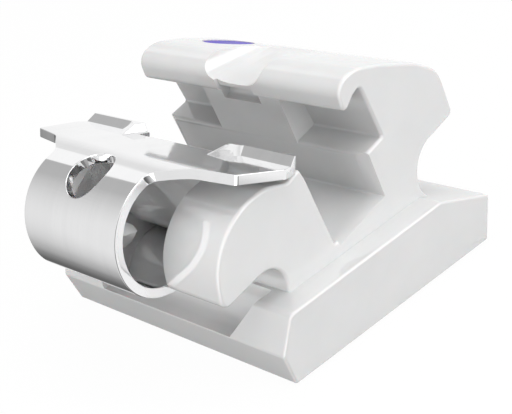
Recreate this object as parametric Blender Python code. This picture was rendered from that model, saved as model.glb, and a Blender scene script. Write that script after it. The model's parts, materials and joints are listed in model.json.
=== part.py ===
"""Self-ligating orthodontic bracket: a moulded ceramic body, a rolled spring clip that
slides over its archwire slot, and a painted orientation dot.

Axes: +X along the archwire slot, +Y away from the gum side, +Z away from the tooth.
The origin is the middle of the bonding face. All lengths here are in millimetres, so that
Booleans keep their fine edges, and each finished piece is brought to metres at the end."""

import math

import bmesh
import bpy
from mathutils import Matrix, Vector

# Bonding base
BASE_LENGTH = 2.33
BASE_HALF_WIDTH = 1.285
BASE_SIDE_LEAN = 0.045
BASE_FRONT_LEAN = 0.085
BASE_BACK_LEAN = 0.045
BASE_FRONT_HEIGHT = 0.28
BASE_BACK_HEIGHT = 0.40
RIM_HEIGHT_FRONT = 0.57
RIM_HEIGHT_BACK = 0.625
RIM_FRONT_INSET = 0.125
RIM_BACK_INSET = 0.62
BASE_EDGE_ROUND = 0.03

# Channel in the front of the base, under the tie wings
VALLEY_HALF_WIDTH_BOTTOM = 0.75
VALLEY_HALF_WIDTH_TOP = 0.97
VALLEY_BACK_ROUND = 0.18
VALLEY_WALL_LEDGE = 0.03

# Retention grooves across the bonding face
GROOVE_PAIRS = 3
GROOVE_WIDTH = 0.14
GROOVE_DEPTH = 0.07
GROOVE_PITCH = 0.34
GROOVE_END_LAND = 0.14

# Archwire slot. Its frame is tilted about X by the torque angle
BODY_HALF_WIDTH = 1.12
TORQUE_ANGLE = math.radians(15.0)
SLOT_CORNER_Y = 0.15
SLOT_CORNER_Z = 0.85
SLOT_WIDTH = 0.56
SLOT_END_CHAMFER = 0.11
SLOT_CHAMFER_DEPTH = 0.045
SLOT_CORNER_ROUND = 0.015
NOSE_WALL_LEAN = 0.045
NOSE_PEAK_RELIEF = 0.013

# Tie wings on the gum side, one at each end of the slot
NOSE_FRONT_Y = -1.53
NOSE_TOP_DROP = 0.12
NOSE_FRONT_ROUND = 0.54
NOSE_UNDER_Z = 0.745
NOSE_UNDER_RISE = 0.14
NOSE_LIP_ROUND = 0.075
NOSE_PEAK_ROUND = 0.05
NECK_FRONT_Y = -0.918
NECK_FRONT_ROUND = 0.19
NECK_ROOT_DEPTH = 0.15

# Hooked wings on the far side of the slot, in the slot frame
SHELF_HEIGHT = 0.405
SHELF_DEPTH = 0.23
POCKET_TOP = 0.865
POCKET_BACK_LEAN = 0.03
POCKET_FRONT_DEPTH = 0.115
POCKET_FRONT_DROP = 0.02
POCKET_ROUND = 0.032
HOOK_UNDER_HEIGHT = 0.765
HOOK_OVERHANG = 0.035
HOOK_TOP = 1.01
HOOK_BROW_LEAN = 0.007
HOOK_BROW_ROUND = 0.12
HOOK_TIP_ROUND = 0.045
WING_CREST_DEPTH = 0.24
WING_BACK_DEPTH = 0.998
WING_BACK_TOP = 0.455
WING_BACK_UNDER = 0.017
WING_TIP_ROUND = 0.05
WING_BACK_ROUND = 0.26
WING_CREST_ROUND = 0.30
NECK_BACK_Y = 0.615
NECK_BACK_ROUND = 0.16
NECK_TOP_ROUND = 0.10
NECK_FOOT_REACH = 0.25
NECK_SINK = 0.004

# Pillar between the two clip pockets, and the saddle between the hooks
PILLAR_HALF_WIDTH = 0.45
PILLAR_SETBACK = 0.006
PILLAR_ROOT = 0.10
SADDLE_HALF_WIDTH = 0.33
SADDLE_FLOOR_Z = 1.69
SADDLE_DEPTH = 0.26
SADDLE_START_Y = -0.50
SADDLE_LENGTH = 2.20
NOTCH_HALF_WIDTH = 0.26
NOTCH_RADIUS = 0.078
NOTCH_Y = 0.045
NOTCH_Z = 0.742

# Spring clip: one strip of sheet, rolled, with eared arms and raised lips
SHEET_THICKNESS = 0.075
CLIP_ANGLE = math.radians(-10.0)
ROLL_Y = -1.41
ROLL_Z = 1.18
ROLL_OUTER_RADIUS = 0.46
ROLL_HALF_WIDTH = 0.54
TONGUE_LENGTH = 1.16
TONGUE_CORNER = 0.22
ARM_LENGTH = 0.69
ARM_CENTRE_SETBACK = 0.155
ARM_ROOT = 0.07
EAR_ROOT_FLARE = 0.06
EAR_ROOT_S = 0.145
EAR_CORNER_S = 0.19
EAR_OVERHANG = 0.165
EAR_WIDE_S = 0.39
EAR_FRONT_OVERHANG = 0.115
EAR_FRONT_S = 0.56
EAR_ROUND = 0.05
LIP_END_INSET = 0.03
LIP_PILLAR_GAP = 0.08
LIP_RISE = 0.055
LIP_RAMP = 0.06
LIP_FLAT = 0.075
LIP_SETBACK = 0.004
LIP_EDGE_ROUND = 0.006
LIP_SINK = 0.01
CENTRE_STEP_LEAN = 0.03
HOLE_HALF_WIDTH = 0.175
HOLE_HALF_LENGTH = 0.22
HOLE_ANGLE = math.radians(112.0)
CLIP_TRAVEL = 0.81

# Running clearances between clip and body
SIDE_CLEARANCE = 0.018
SHEET_CLEARANCE = 0.015
CHANNEL_END_CLEARANCE = 0.05
CLIP_SPACE_END = 0.75

# Orientation dot, painted in a shallow dimple on one wing
DOT_RADIUS = 0.22
DOT_THICKNESS = 0.012
DOT_DIMPLE_DEPTH = 0.02
DOT_GAP = 0.003
DOT_X = -0.69
DOT_ALONG_SLOPE = 0.40

END_EDGE_ROUND = 0.022
ARC_STEP = math.radians(9.0)
FILLET_LIMIT = 0.96
SHORTEST_FACET = 0.012
OVERSHOOT = 0.2
SLIVER = 0.002
WELD = 0.0008


def start_empty():
    for item in list(bpy.data.objects):
        bpy.data.objects.remove(item)


def material(name, colour, roughness, metallic, coat=0.0):
    mat = bpy.data.materials.new(name)
    mat.use_nodes = True
    shader = mat.node_tree.nodes["Principled BSDF"]
    shader.inputs["Base Color"].default_value = (*colour, 1.0)
    shader.inputs["Roughness"].default_value = roughness
    shader.inputs["Metallic"].default_value = metallic
    shader.inputs["Coat Weight"].default_value = coat
    return mat


def slot_point(along, up):
    """A point of the slot frame, whose origin is the corner of slot floor and wing wall."""
    cos, sin = math.cos(TORQUE_ANGLE), math.sin(TORQUE_ANGLE)
    return (SLOT_CORNER_Y + along * cos - up * sin, SLOT_CORNER_Z + along * sin + up * cos)


def clip_point(along, outward, slide=0.0):
    """A point of the clip frame: along its sliding direction, and outward from the roll's axis."""
    cos, sin = math.cos(CLIP_ANGLE), math.sin(CLIP_ANGLE)
    reach = along + slide
    return (ROLL_Y + reach * cos - outward * sin, ROLL_Z + reach * sin + outward * cos)


def clip_outward(point):
    """How far a YZ point lies outward from the roll's axis, across the sliding direction."""
    cos, sin = math.cos(CLIP_ANGLE), math.sin(CLIP_ANGLE)
    return (point[1] - ROLL_Z) * cos - (point[0] - ROLL_Y) * sin


def fillet_reaches(corners):
    """How far each corner's fillet reaches along its two edges, limited by those edges' lengths."""
    count = len(corners)
    reaches = []
    for index, (y, z, radius) in enumerate(corners):
        before = Vector(corners[index - 1][:2]) - Vector((y, z))
        after = Vector(corners[(index + 1) % count][:2]) - Vector((y, z))
        reaches.append(radius / math.tan(before.angle(after) / 2.0))
    limited = list(reaches)
    for index in range(count):
        follow = (index + 1) % count
        edge = (Vector(corners[index][:2]) - Vector(corners[follow][:2])).length
        needed = reaches[index] + reaches[follow]
        if needed > FILLET_LIMIT * edge:
            share = FILLET_LIMIT * edge / needed
            limited[index] = min(limited[index], reaches[index] * share)
            limited[follow] = min(limited[follow], reaches[follow] * share)
    return limited


def rounded_outline(corners):
    """Points of a closed outline, from corners (y, z, radius). A radius of zero stays sharp."""
    points = []
    count = len(corners)
    reaches = fillet_reaches(corners)
    for index, (y, z, radius) in enumerate(corners):
        here = Vector((y, z))
        before = Vector(corners[index - 1][:2]) - here
        after = Vector(corners[(index + 1) % count][:2]) - here
        if radius == 0.0:
            points.append(here)
            continue
        before.normalize()
        after.normalize()
        half_angle = before.angle(after) / 2.0
        radius = reaches[index] * math.tan(half_angle)
        centre = here + (before + after).normalized() * (radius / math.sin(half_angle))
        start = here + before * reaches[index] - centre
        sweep = math.pi - 2.0 * half_angle
        if before.x * after.y - before.y * after.x > 0.0:
            sweep = -sweep
        steps = max(1, min(round(abs(sweep) / ARC_STEP), round(abs(sweep) * radius / SHORTEST_FACET)))
        for step in range(steps + 1):
            turn = sweep * step / steps
            cos, sin = math.cos(turn), math.sin(turn)
            points.append(centre + Vector((start.x * cos - start.y * sin, start.x * sin + start.y * cos)))
    return points


def mesh_object(name, bm, mat=None):
    bmesh.ops.recalc_face_normals(bm, faces=bm.faces)
    mesh = bpy.data.meshes.new(name)
    bm.to_mesh(mesh)
    bm.free()
    if mat is not None:
        mesh.materials.append(mat)
    item = bpy.data.objects.new(name, mesh)
    bpy.context.scene.collection.objects.link(item)
    return item


def inset(outline, distance):
    """The closed outline moved inwards by a small distance, each corner along its mitre."""
    count = len(outline)
    area = 0.0
    for index in range(count):
        here, follow = outline[index], outline[(index + 1) % count]
        area += here[0] * follow[1] - follow[0] * here[1]
    side = 1.0 if area > 0.0 else -1.0
    moved = []
    for index in range(count):
        here = Vector(outline[index])
        before = (here - Vector(outline[index - 1])).normalized()
        after = (Vector(outline[(index + 1) % count]) - here).normalized()
        before_normal = Vector((-before.y, before.x)) * side
        after_normal = Vector((-after.y, after.x)) * side
        mitre = before_normal + after_normal
        moved.append(here + mitre * (distance / (1.0 + before_normal.dot(after_normal))))
    return moved


def prism(name, outline, x_from, x_to, edge_round=0.0):
    """A closed YZ outline extruded along X, with the edges of its two ends rounded."""
    bm = bmesh.new()
    sections = [(x_from, 0.0), (x_to, 0.0)]
    if edge_round > 0.0:
        turns = [math.radians(angle) for angle in (90.0, 45.0, 0.0)]
        curve = [(edge_round * (1.0 - math.sin(turn)), edge_round * (1.0 - math.cos(turn))) for turn in turns]
        start = [(x_from + inward, shrink) for inward, shrink in curve]
        end = [(x_to - inward, shrink) for inward, shrink in reversed(curve)]
        sections = start + end
    rings = []
    for x, shrink in sections:
        rings.append([bm.verts.new((x, y, z)) for y, z in inset(outline, shrink)])
    bm.faces.new(rings[0])
    bm.faces.new(rings[-1])
    count = len(outline)
    for ring, following in zip(rings[:-1], rings[1:]):
        for index in range(count):
            beside = (index + 1) % count
            bm.faces.new((ring[index], ring[beside], following[beside], following[index]))
    return mesh_object(name, bm)


def apply_modifier(item, modifier):
    """Replaces the object's mesh by the result of its one modifier."""
    graph = bpy.context.evaluated_depsgraph_get()
    result = bpy.data.meshes.new_from_object(item.evaluated_get(graph))
    item.modifiers.remove(modifier)
    old = item.data
    item.data = result
    bpy.data.meshes.remove(old)


def combine(item, other, operation):
    """Joins or cuts one solid with another, and removes the other."""
    modifier = item.modifiers.new(operation.lower(), "BOOLEAN")
    modifier.operation = operation
    modifier.solver = "EXACT"
    modifier.object = other
    bpy.context.view_layer.update()
    apply_modifier(item, modifier)
    bpy.data.objects.remove(other)


def base_outline():
    """Side view of the bonding base, from its front bottom edge round to the back."""
    front = -BASE_LENGTH / 2.0
    back = BASE_LENGTH / 2.0
    crest = front - BASE_FRONT_LEAN
    tail = back + BASE_BACK_LEAN
    return rounded_outline([
        (front, 0.0, 0.0),
        (back, 0.0, 0.0),
        (tail, BASE_BACK_HEIGHT, BASE_EDGE_ROUND),
        (tail - RIM_BACK_INSET, RIM_HEIGHT_BACK, 2.0 * BASE_EDGE_ROUND),
        (front + RIM_FRONT_INSET, RIM_HEIGHT_FRONT, 2.0 * BASE_EDGE_ROUND),
        (crest, BASE_FRONT_HEIGHT, BASE_EDGE_ROUND),
    ])


def make_base():
    """The bonding base: a block whose sides lean out from the bonding face."""
    top_half_width = BASE_HALF_WIDTH + BASE_SIDE_LEAN
    base = prism("base", base_outline(), -top_half_width, top_half_width, BASE_EDGE_ROUND)
    for vertex in base.data.vertices:
        rise = vertex.co.z / RIM_HEIGHT_BACK
        vertex.co.x *= (BASE_HALF_WIDTH + BASE_SIDE_LEAN * rise) / top_half_width
    return base


def valley_cutter():
    """The channel across the front of the base, with sloping sides and a round back."""
    front = -BASE_LENGTH / 2.0 - BASE_FRONT_LEAN - OVERSHOOT
    top = RIM_HEIGHT_BACK + OVERSHOOT
    floor = BASE_FRONT_HEIGHT
    slope = (VALLEY_HALF_WIDTH_TOP - VALLEY_HALF_WIDTH_BOTTOM) / (RIM_HEIGHT_FRONT - floor)
    outline = rounded_outline([
        (front, floor, 0.0),
        (NECK_FRONT_Y - VALLEY_WALL_LEDGE, floor, VALLEY_BACK_ROUND),
        (NECK_FRONT_Y - VALLEY_WALL_LEDGE, top, 0.0),
        (front, top, 0.0),
    ])
    cutter = prism("valley", outline, -1.0, 1.0)
    for vertex in cutter.data.vertices:
        half_width = VALLEY_HALF_WIDTH_BOTTOM + slope * (vertex.co.z - floor)
        vertex.co.x *= half_width
    return cutter


def groove_cutters():
    """Retention grooves of the bonding face, in pairs on each side of a plain middle land."""
    half_length = BASE_HALF_WIDTH - GROOVE_END_LAND
    for pair in range(GROOVE_PAIRS):
        for side in (-1.0, 1.0):
            middle = side * (pair + 0.5) * GROOVE_PITCH
            left = middle - GROOVE_WIDTH / 2.0
            right = middle + GROOVE_WIDTH / 2.0
            undercut = GROOVE_DEPTH * 0.25
            outline = [
                (left, -OVERSHOOT),
                (right, -OVERSHOOT),
                (right, 0.0),
                (right + undercut, GROOVE_DEPTH),
                (left - undercut, GROOVE_DEPTH),
                (left, 0.0),
            ]
            yield prism("retention_groove", outline, -half_length, half_length)


def base_back_slope(y):
    """Height of the base's top where it falls towards its back edge."""
    tail = BASE_LENGTH / 2.0 + BASE_BACK_LEAN
    return BASE_BACK_HEIGHT + (RIM_HEIGHT_BACK - BASE_BACK_HEIGHT) * (tail - y) / RIM_BACK_INSET


def nose_peak_height():
    """Height of the gum-side wall, in the slot frame, that just lets the clip's ears pass over it."""
    along = -SLOT_WIDTH - NOSE_WALL_LEAN
    allowed = ROLL_OUTER_RADIUS - SHEET_THICKNESS - SHEET_CLEARANCE + NOSE_PEAK_RELIEF
    foot_level = clip_outward(slot_point(along, 0.0))
    unit_level = clip_outward(slot_point(along, 1.0))
    return (allowed - foot_level) / (unit_level - foot_level)


def body_outline():
    """Side view of the moulded body: gum-side tie wing, slot, hooked wing and neck."""
    slot_nose = slot_point(-SLOT_WIDTH, 0.0)
    peak = slot_point(-SLOT_WIDTH - NOSE_WALL_LEAN, nose_peak_height())
    slot_wing = slot_point(0.0, 0.0)
    shelf_edge = slot_point(0.0, SHELF_HEIGHT)
    shelf_back = slot_point(SHELF_DEPTH, SHELF_HEIGHT)
    pocket_top = slot_point(SHELF_DEPTH - POCKET_BACK_LEAN, POCKET_TOP)
    pocket_front = slot_point(POCKET_FRONT_DEPTH, POCKET_TOP - POCKET_FRONT_DROP)
    hook_tip = slot_point(-HOOK_OVERHANG, HOOK_UNDER_HEIGHT)
    hook_brow = slot_point(-HOOK_BROW_LEAN, HOOK_TOP)
    crest = slot_point(WING_CREST_DEPTH, HOOK_TOP)
    back_top = slot_point(WING_BACK_DEPTH, WING_BACK_TOP)
    back_tip = slot_point(WING_BACK_DEPTH, WING_BACK_UNDER)
    neck_top = back_tip[1] - (back_tip[0] - NECK_BACK_Y) * math.tan(TORQUE_ANGLE)
    sunk = RIM_HEIGHT_FRONT - NECK_ROOT_DEPTH
    foot = NECK_BACK_Y + NECK_FOOT_REACH
    return rounded_outline([
        (NECK_FRONT_Y, sunk, 0.0),
        (NECK_BACK_Y, sunk, 0.0),
        (foot, base_back_slope(foot) - NECK_SINK, 0.0),
        (NECK_BACK_Y, base_back_slope(NECK_BACK_Y) - NECK_SINK, NECK_BACK_ROUND),
        (NECK_BACK_Y, neck_top, NECK_TOP_ROUND),
        (*back_tip, WING_TIP_ROUND),
        (*back_top, WING_BACK_ROUND),
        (*crest, WING_CREST_ROUND),
        (*hook_brow, HOOK_BROW_ROUND),
        (*hook_tip, HOOK_TIP_ROUND),
        (*pocket_front, POCKET_ROUND),
        (*pocket_top, POCKET_ROUND),
        (*shelf_back, SLOT_CORNER_ROUND),
        (*shelf_edge, 0.0),
        (*slot_wing, SLOT_CORNER_ROUND),
        (*slot_nose, SLOT_CORNER_ROUND),
        (*peak, NOSE_PEAK_ROUND),
        (NOSE_FRONT_Y, peak[1] - NOSE_TOP_DROP, NOSE_FRONT_ROUND),
        (NOSE_FRONT_Y, NOSE_UNDER_Z, NOSE_LIP_ROUND),
        (NECK_FRONT_Y, NOSE_UNDER_Z + NOSE_UNDER_RISE, NECK_FRONT_ROUND),
    ])


def clip_space_cutter():
    """The room that the clip needs between the tie wings, round the core and in its channel."""
    inner = ROLL_OUTER_RADIUS - SHEET_THICKNESS - SHEET_CLEARANCE
    outer = ROLL_OUTER_RADIUS + SHEET_CLEARANCE
    channel_end = TONGUE_LENGTH + CHANNEL_END_CLEARANCE
    far_front = -1.6 * CLIP_TRAVEL
    steps = round(math.pi / ARC_STEP)
    outline = [
        clip_point(far_front, -outer, CLIP_TRAVEL),
        clip_point(channel_end, -outer, CLIP_TRAVEL),
        clip_point(channel_end, -inner, CLIP_TRAVEL),
    ]
    for step in range(steps + 1):
        turn = math.pi * step / steps
        outline.append(clip_point(-inner * math.sin(turn), -inner * math.cos(turn), CLIP_TRAVEL))
    outline.append(clip_point(CLIP_SPACE_END, inner))
    outline.append(clip_point(CLIP_SPACE_END, 4.0 * inner))
    outline.append(clip_point(far_front, 4.0 * inner, CLIP_TRAVEL))
    half_width = ROLL_HALF_WIDTH + SIDE_CLEARANCE
    return prism("clip_space", outline, -half_width, half_width)


def make_pillar():
    """The pillar between the pockets, almost flush with the slot wall."""
    low = SHELF_HEIGHT - PILLAR_ROOT
    high = POCKET_TOP
    back = SHELF_DEPTH + PILLAR_ROOT
    corners = [(PILLAR_SETBACK, low), (back, low), (back, high), (PILLAR_SETBACK, high)]
    outline = [slot_point(*corner) for corner in corners]
    return prism("pillar", outline, -PILLAR_HALF_WIDTH, PILLAR_HALF_WIDTH)


def saddle_cutter():
    """The trough that runs front to back between the two hooks."""
    bm = bmesh.new()
    centre_z = SADDLE_FLOOR_Z + SADDLE_DEPTH
    steps = 28
    ring = []
    for step in range(steps):
        turn = math.tau * step / steps
        wide = SADDLE_HALF_WIDTH * math.cos(turn)
        high = SADDLE_DEPTH * math.sin(turn)
        ring.append(bm.verts.new((wide, SADDLE_START_Y, centre_z + high)))
    bm.faces.new(ring)
    extruded = bmesh.ops.extrude_face_region(bm, geom=bm.faces[:])["geom"]
    moved = [part for part in extruded if isinstance(part, bmesh.types.BMVert)]
    bmesh.ops.translate(bm, vec=(0.0, SADDLE_LENGTH, 0.0), verts=moved)
    return mesh_object("saddle", bm)


def notch_cutter():
    """The round notch under the front edge of the saddle."""
    y, z = slot_point(NOTCH_Y, NOTCH_Z)
    steps = 20
    outline = []
    for step in range(steps):
        turn = math.tau * step / steps
        outline.append((y + NOTCH_RADIUS * math.cos(turn), z + NOTCH_RADIUS * math.sin(turn)))
    return prism("notch", outline, -NOTCH_HALF_WIDTH, NOTCH_HALF_WIDTH)


def slot_end_cutter(side):
    """The lead-in chamfer at one end of the slot, on its floor and its wing-side wall."""
    bm = bmesh.new()
    outer_x = side * (BODY_HALF_WIDTH + OVERSHOOT)
    inner_x = side * (BODY_HALF_WIDTH - SLOT_END_CHAMFER)
    fall = SLOT_CHAMFER_DEPTH * (SLOT_END_CHAMFER + OVERSHOOT) / SLOT_END_CHAMFER
    nose_side = -SLOT_WIDTH + 2.0 * SLOT_CORNER_ROUND
    high = SHELF_HEIGHT + OVERSHOOT
    sections = []
    for x, depth in ((inner_x, -SLIVER), (outer_x, fall)):
        corners = [(nose_side, -depth), (depth, -depth), (depth, high), (nose_side, high)]
        sections.append([bm.verts.new((x, *slot_point(*corner))) for corner in corners])
    inner, outer = sections
    bm.faces.new(inner)
    bm.faces.new(outer)
    for index in range(4):
        follow = (index + 1) % 4
        bm.faces.new((inner[index], inner[follow], outer[follow], outer[index]))
    return mesh_object("slot_end", bm)


def dot_frame():
    """Place of the orientation dot: on the wing's back slope, normal to it."""
    crest = Vector(slot_point(WING_CREST_DEPTH, HOOK_TOP))
    back = Vector(slot_point(WING_BACK_DEPTH, WING_BACK_TOP))
    slope = (back - crest).normalized()
    spot = crest + slope * DOT_ALONG_SLOPE
    normal = Vector((0.0, -slope.y, slope.x))
    along = Vector((0.0, slope.x, slope.y))
    turn = Matrix((Vector((1.0, 0.0, 0.0)), along, normal)).transposed().to_4x4()
    return Matrix.Translation((DOT_X, spot.x, spot.y)) @ turn


def disc(name, radius, low, high, mat=None):
    """A round disc at the dot's place, between two heights above the wing's slope."""
    bm = bmesh.new()
    steps = 32
    ring = []
    for step in range(steps):
        turn = math.tau * step / steps
        ring.append(bm.verts.new((radius * math.cos(turn), radius * math.sin(turn), low)))
    bm.faces.new(ring)
    extruded = bmesh.ops.extrude_face_region(bm, geom=bm.faces[:])["geom"]
    moved = [part for part in extruded if isinstance(part, bmesh.types.BMVert)]
    bmesh.ops.translate(bm, vec=(0.0, 0.0, high - low), verts=moved)
    item = mesh_object(name, bm, mat)
    item.matrix_world = dot_frame()
    return item


def make_body(mat):
    body = prism("bracket_body", body_outline(), -BODY_HALF_WIDTH, BODY_HALF_WIDTH, END_EDGE_ROUND)
    combine(body, make_pillar(), "UNION")
    base = make_base()
    combine(base, valley_cutter(), "DIFFERENCE")
    for cutter in groove_cutters():
        combine(base, cutter, "DIFFERENCE")
    combine(body, base, "UNION")
    combine(body, clip_space_cutter(), "DIFFERENCE")
    combine(body, saddle_cutter(), "DIFFERENCE")
    combine(body, notch_cutter(), "DIFFERENCE")
    for side in (-1.0, 1.0):
        combine(body, slot_end_cutter(side), "DIFFERENCE")
    dimple = disc("dimple", DOT_RADIUS + DOT_GAP, -DOT_DIMPLE_DEPTH, OVERSHOOT)
    combine(body, dimple, "DIFFERENCE")
    body.data.materials.clear()
    body.data.materials.append(mat)
    return body


def lip_ends():
    """How far from the middle a lip starts, beside the pillar, and where it ends."""
    return PILLAR_HALF_WIDTH + LIP_PILLAR_GAP, BODY_HALF_WIDTH - LIP_END_INSET


def tongue_plan():
    """The tongue's plan, as points (x, along) from the roll's edge round its tapered end."""
    wide = ROLL_HALF_WIDTH
    narrow = ROLL_HALF_WIDTH - TONGUE_CORNER
    taper = TONGUE_LENGTH - TONGUE_CORNER
    half = [(wide, 0.0), (wide, taper), (narrow, TONGUE_LENGTH)]
    return [(-x, along) for x, along in half] + half[::-1]


def arm_plan():
    """The arm's plan: an ear at each side, and a leading edge that is set back in its middle."""
    lip_start, lip_end = lip_ends()
    half = [
        (ROLL_HALF_WIDTH, 0.0, 0.0),
        (ROLL_HALF_WIDTH, ARM_ROOT, EAR_ROUND),
        (ROLL_HALF_WIDTH + EAR_ROOT_FLARE, EAR_ROOT_S, EAR_ROUND),
        (BODY_HALF_WIDTH, EAR_CORNER_S, EAR_ROUND),
        (BODY_HALF_WIDTH + EAR_OVERHANG, EAR_WIDE_S, EAR_ROUND),
        (BODY_HALF_WIDTH + EAR_FRONT_OVERHANG, EAR_FRONT_S, EAR_ROUND),
        (lip_end, ARM_LENGTH, 0.0),
        (lip_start, ARM_LENGTH, 0.0),
        (lip_start - CENTRE_STEP_LEAN, ARM_LENGTH - ARM_CENTRE_SETBACK, 0.0),
    ]
    mirrored = [(-x, along, radius) for x, along, radius in half]
    return [tuple(point) for point in rounded_outline(mirrored + half[::-1])]


def flat_end(bm, plan, side):
    """One flat end of the sheet. Returns its two corners on the roll's edge, as (outer, inner) pairs."""
    inner_radius = ROLL_OUTER_RADIUS - SHEET_THICKNESS
    outer = [bm.verts.new((x, *clip_point(along, side * ROLL_OUTER_RADIUS))) for x, along in plan]
    inner = [bm.verts.new((x, *clip_point(along, side * inner_radius))) for x, along in plan]
    bm.faces.new(outer)
    bm.faces.new(inner)
    for index in range(len(plan) - 1):
        bm.faces.new((outer[index], outer[index + 1], inner[index + 1], inner[index]))
    return (outer[0], inner[0]), (outer[-1], inner[-1])


def make_sheet():
    """The clip's sheet in one bent piece: tongue, roll and eared arm."""
    bm = bmesh.new()
    sections = [flat_end(bm, tongue_plan(), -1.0)]
    steps = 2 * round(math.pi / ARC_STEP)
    for step in range(1, steps):
        turn = math.pi * step / steps
        section = []
        for x in (-ROLL_HALF_WIDTH, ROLL_HALF_WIDTH):
            corner = []
            for radius in (ROLL_OUTER_RADIUS, ROLL_OUTER_RADIUS - SHEET_THICKNESS):
                place = clip_point(-radius * math.sin(turn), -radius * math.cos(turn))
                corner.append(bm.verts.new((x, *place)))
            section.append(corner)
        sections.append(section)
    sections.append(flat_end(bm, arm_plan(), 1.0))
    for here, follow in zip(sections[:-1], sections[1:]):
        for layer in (0, 1):
            bm.faces.new((here[0][layer], here[1][layer], follow[1][layer], follow[0][layer]))
        for edge in (0, 1):
            bm.faces.new((here[edge][0], here[edge][1], follow[edge][1], follow[edge][0]))
    return mesh_object("spring_clip", bm)


def lip(side):
    """A raised lip on one half of the leading edge: a ramp, then a flat strip."""
    lip_start, lip_end = lip_ends()
    inner = ROLL_OUTER_RADIUS - SHEET_THICKNESS
    outer = ROLL_OUTER_RADIUS
    front = ARM_LENGTH - LIP_SETBACK
    start = front - LIP_FLAT - LIP_RAMP
    corners = [
        (start, outer - LIP_SINK),
        (start + LIP_SINK, outer),
        (front - LIP_FLAT, outer + LIP_RISE),
        (front, outer + LIP_RISE),
        (front, inner + LIP_SINK),
        (start, inner + LIP_SINK),
    ]
    outline = [clip_point(*corner) for corner in corners]
    ends = sorted((side * (lip_start + LIP_SETBACK), side * (lip_end - 2.0 * LIP_EDGE_ROUND)))
    return prism("lip", outline, ends[0], ends[1], LIP_EDGE_ROUND)


def hole_cutter():
    """The oval tool hole through the upper front of the roll."""
    bm = bmesh.new()
    steps = 36
    axis = Vector((math.cos(HOLE_ANGLE), math.sin(HOLE_ANGLE)))
    along = Vector((-axis.y, axis.x))
    middle = Vector((ROLL_Y, ROLL_Z)) + axis * (0.5 * ROLL_OUTER_RADIUS)
    ring = []
    for step in range(steps):
        turn = math.tau * step / steps
        spot = middle + along * (HOLE_HALF_LENGTH * math.sin(turn))
        ring.append(bm.verts.new((HOLE_HALF_WIDTH * math.cos(turn), spot.x, spot.y)))
    bm.faces.new(ring)
    extruded = bmesh.ops.extrude_face_region(bm, geom=bm.faces[:])["geom"]
    moved = [part for part in extruded if isinstance(part, bmesh.types.BMVert)]
    far = axis * ROLL_OUTER_RADIUS
    bmesh.ops.translate(bm, vec=(0.0, far.x, far.y), verts=moved)
    return mesh_object("hole", bm)


def make_clip(mat):
    clip = make_sheet()
    for side in (-1.0, 1.0):
        combine(clip, lip(side), "UNION")
    combine(clip, hole_cutter(), "DIFFERENCE")
    clip.data.materials.clear()
    clip.data.materials.append(mat)
    roll_axis = Vector((0.0, ROLL_Y, ROLL_Z))
    clip.data.transform(Matrix.Translation(-roll_axis))
    clip.location = roll_axis
    return clip


def make_dot(mat):
    low = -DOT_DIMPLE_DEPTH + DOT_GAP
    return disc("id_mark", DOT_RADIUS, low, low + DOT_THICKNESS, mat)


def tidy(item):
    """Brings a finished piece to metres, shaded smooth on its round faces and sharp at its edges."""
    bm = bmesh.new()
    bm.from_mesh(item.data)
    bmesh.ops.remove_doubles(bm, verts=bm.verts, dist=WELD)
    bmesh.ops.dissolve_degenerate(bm, edges=bm.edges, dist=0.5 * WELD)
    bmesh.ops.triangulate(bm, faces=bm.faces)
    bmesh.ops.scale(bm, vec=(0.001, 0.001, 0.001), verts=bm.verts)
    bm.to_mesh(item.data)
    bm.free()
    item.location *= 0.001
    item.data.shade_smooth()
    item.data.set_sharp_from_angle(angle=math.radians(30.0))


def main():
    start_empty()
    ceramic = material("ceramic", (0.82, 0.83, 0.84), 0.18, 0.0, coat=0.5)
    steel = material("polished_spring_alloy", (0.78, 0.78, 0.79), 0.12, 1.0)
    paint = material("violet_paint", (0.07, 0.05, 0.38), 0.4, 0.0)
    pieces = [make_body(ceramic), make_clip(steel), make_dot(paint)]
    for piece in pieces:
        tidy(piece)


main()
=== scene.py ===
# %% [markdown]
# # A self-ligating orthodontic bracket
# The real bracket is three millimetres long. Its body is moulded from white ceramic, and
# a strip of polished spring alloy, rolled like a sleeve, slides over the slot that holds
# the archwire. This lesson models both by hand, in the frame of a finished CAD part.

import json
import math

import bmesh
import bpy
from mathutils import Matrix, Vector

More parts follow.
